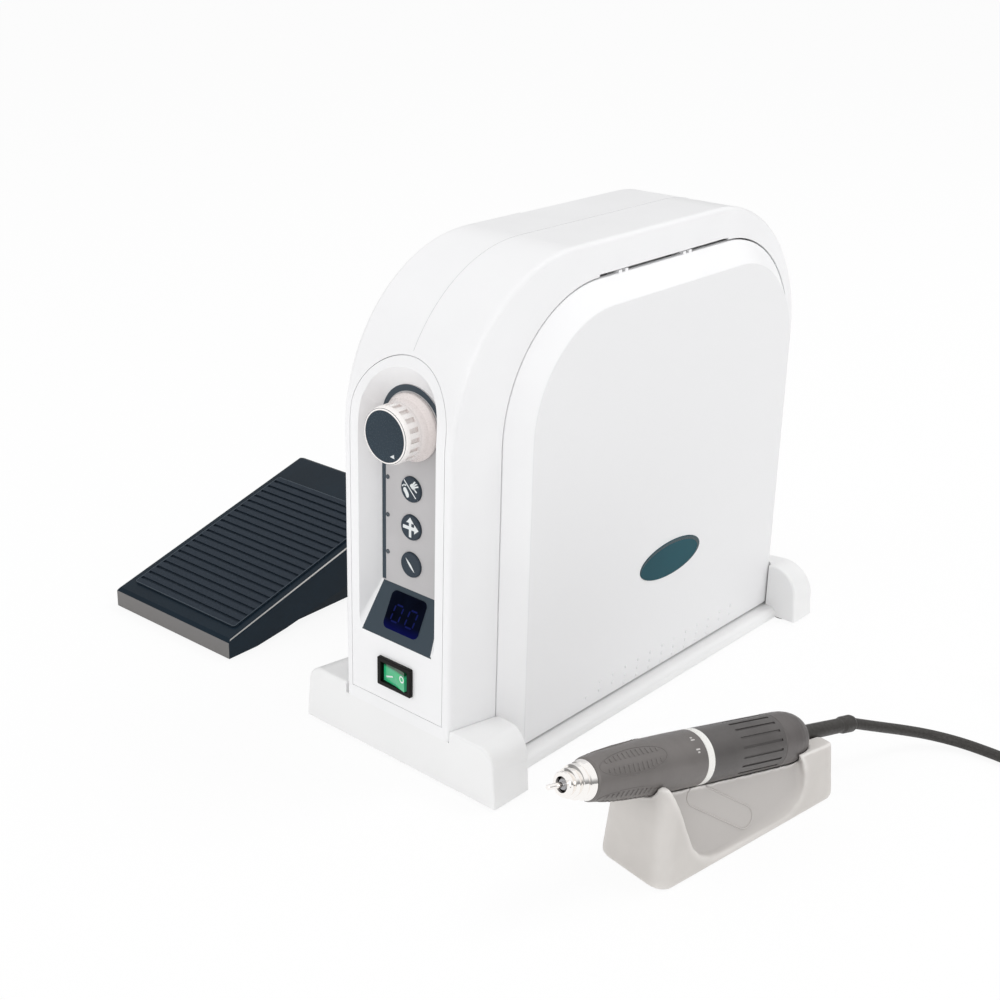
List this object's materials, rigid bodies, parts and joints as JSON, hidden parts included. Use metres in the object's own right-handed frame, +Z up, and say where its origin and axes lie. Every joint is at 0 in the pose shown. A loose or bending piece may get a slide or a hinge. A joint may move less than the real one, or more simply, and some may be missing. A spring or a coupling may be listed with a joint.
{
  "type": "nail drill machine",
  "caption": "Table-top electric nail drill: tall arched control unit with speed knob, keys and knee plate, a sloping foot pedal, and a motor handpiece resting in a cradle with its cord.",
  "frame": {"origin": "on the floor under the middle of the control unit's stand", "axes": "+Z up, the control panel faces -Y, the knee plate faces +X"},
  "size_m": [0.5347, 0.3288, 0.245],
  "materials": {
    "shell_white": "satin moulded casing",
    "plate_white": "satin moulded plate",
    "stand_white": "satin moulded stand",
    "panel_grey": "printed grey sheet with a dark border",
    "display_dark": "smoked window",
    "key_dark": "dark soft keys",
    "cap_dark": "dark cap",
    "lens_clear": "clear lens",
    "rocker_green": "lit green rocker",
    "black_plastic": "fine grain",
    "badge_slate": "plain oval plate",
    "steel": "turned steel",
    "chrome": "polished",
    "brass": "bright",
    "board_green": "circuit board",
    "alu": "extruded",
    "copper_tape": "taped winding",
    "core_steel": "varnished laminations",
    "rubber": "soft",
    "pedal_shell": "fine grain",
    "tread_rubber": "ribbed",
    "pedal_base": "fine grain",
    "hand_grey": "satin coat",
    "ring_white": "smooth",
    "cradle_grey": "fine grain",
    "cord_dark": "smooth cable sheath",
    "magnet": "sintered"
  },
  "bodies": {
    "base": {"base_stand": "stand_white", "rubber_feet": "rubber", "left_shell": "shell_white", "right_shell": "shell_white", "front_fascia": "shell_white", "control_overlay": "panel_grey", "display_window": "display_dark", "display_module": "black_plastic", "speed_pot": "black_plastic", "tact_switches": "black_plastic", "indicator_lenses": "lens_clear", "switch_housing": "black_plastic", "switch_terminals": "brass", "control_board": "board_green", "board_screws": "steel", "power_board": "board_green", "heat_sink": "alu", "transformer_core": "core_steel", "transformer_winding": "copper_tape", "rear_panel": "black_plastic", "mains_inlet": "black_plastic", "fuse_holder": "black_plastic", "handpiece_socket": "chrome", "pedal_socket": "black_plastic", "plate_hinge_pins": "steel", "plate_springs": "steel", "plate_switch": "black_plastic", "casing_screws": "steel", "pedal_base": "pedal_base", "pedal_hinge_pins": "steel", "pedal_springs": "steel", "pedal_feet": "rubber", "pedal_board": "board_green", "pedal_inlet": "black_plastic", "cradle": "cradle_grey", "handpiece_cord": "cord_dark", "cord_plug": "black_plastic"},
    "speed_knob": {"speed_knob": "shell_white", "knob_cap": "cap_dark", "pot_shaft": "steel"},
    "foot_hand_button": {"foot_hand_button": "key_dark"},
    "direction_button": {"direction_button": "key_dark"},
    "run_button": {"run_button": "key_dark"},
    "power_rocker": {"power_rocker": "rocker_green"},
    "knee_plate": {"side_plate": "plate_white", "plate_badge": "badge_slate"},
    "pedal_treadle": {"pedal_treadle": "pedal_shell", "tread_mat": "tread_rubber"},
    "handpiece": {"nose_cone": "chrome", "chuck_tube": "steel", "index_ring": "ring_white", "motor_housing": "hand_grey", "rear_cap": "hand_grey", "strain_relief": "cord_dark", "stator_coil": "copper_tape", "spindle_bearings": "steel"},
    "twist_grip": {"front_sleeve": "hand_grey"},
    "spindle": {"spindle": "steel", "rotor_magnet": "magnet", "bur_shank": "chrome"}
  },
  "joints": [
    {"name": "speed_turn", "type": "hinge", "parent": "base", "child": "speed_knob", "pos_m": [0, -0.13, 0.1691], "axis": [0, 1, 0], "range_deg": [0, 270]},
    {"name": "foot_hand_press", "type": "slide", "parent": "base", "child": "foot_hand_button", "axis": [0, 1, 0], "range_m": [0, 0.0006], "stiffness_N_per_m": 1000, "springref_m": -0.0002},
    {"name": "direction_press", "type": "slide", "parent": "base", "child": "direction_button", "axis": [0, 1, 0], "range_m": [0, 0.0006], "stiffness_N_per_m": 1000, "springref_m": -0.0002},
    {"name": "run_press", "type": "slide", "parent": "base", "child": "run_button", "axis": [0, 1, 0], "range_m": [0, 0.0006], "stiffness_N_per_m": 1000, "springref_m": -0.0002},
    {"name": "power_rock", "type": "hinge", "parent": "base", "child": "power_rocker", "pos_m": [0, -0.1385, 0.0466], "axis": [0, 0, 1], "range_deg": [0, 16]},
    {"name": "knee_press", "type": "hinge", "parent": "base", "child": "knee_plate", "pos_m": [0.0284, 0.0047, 0.2322], "axis": [0, 1, 0], "range_deg": [0, 2], "stiffness_Nm_per_rad": 1.5, "springref_deg": -6.88},
    {"name": "pedal_press", "type": "hinge", "parent": "base", "child": "pedal_treadle", "pos_m": [-0.18502, -0.11596, 0.0066], "axis": [-0.9997, -0.0244, 0], "range_deg": [0, 5], "stiffness_Nm_per_rad": 4, "springref_deg": -8.02, "deforming": ["pedal_springs"]},
    {"name": "handpiece_lift", "type": "slide", "parent": "base", "child": "handpiece", "axis": [0.0334, 0.1896, 0.9813], "range_m": [0, 0.07]},
    {"name": "grip_twist", "type": "hinge", "parent": "handpiece", "child": "twist_grip", "pos_m": [0.1393, -0.1, 0.0443], "axis": [0.1704, 0.9664, -0.1925], "range_deg": [0, 45]},
    {"name": "spindle_spin", "type": "hinge", "parent": "handpiece", "child": "spindle", "pos_m": [0.1393, -0.1, 0.0443], "axis": [0.1704, 0.9664, -0.1925], "continuous": true}
  ]
}
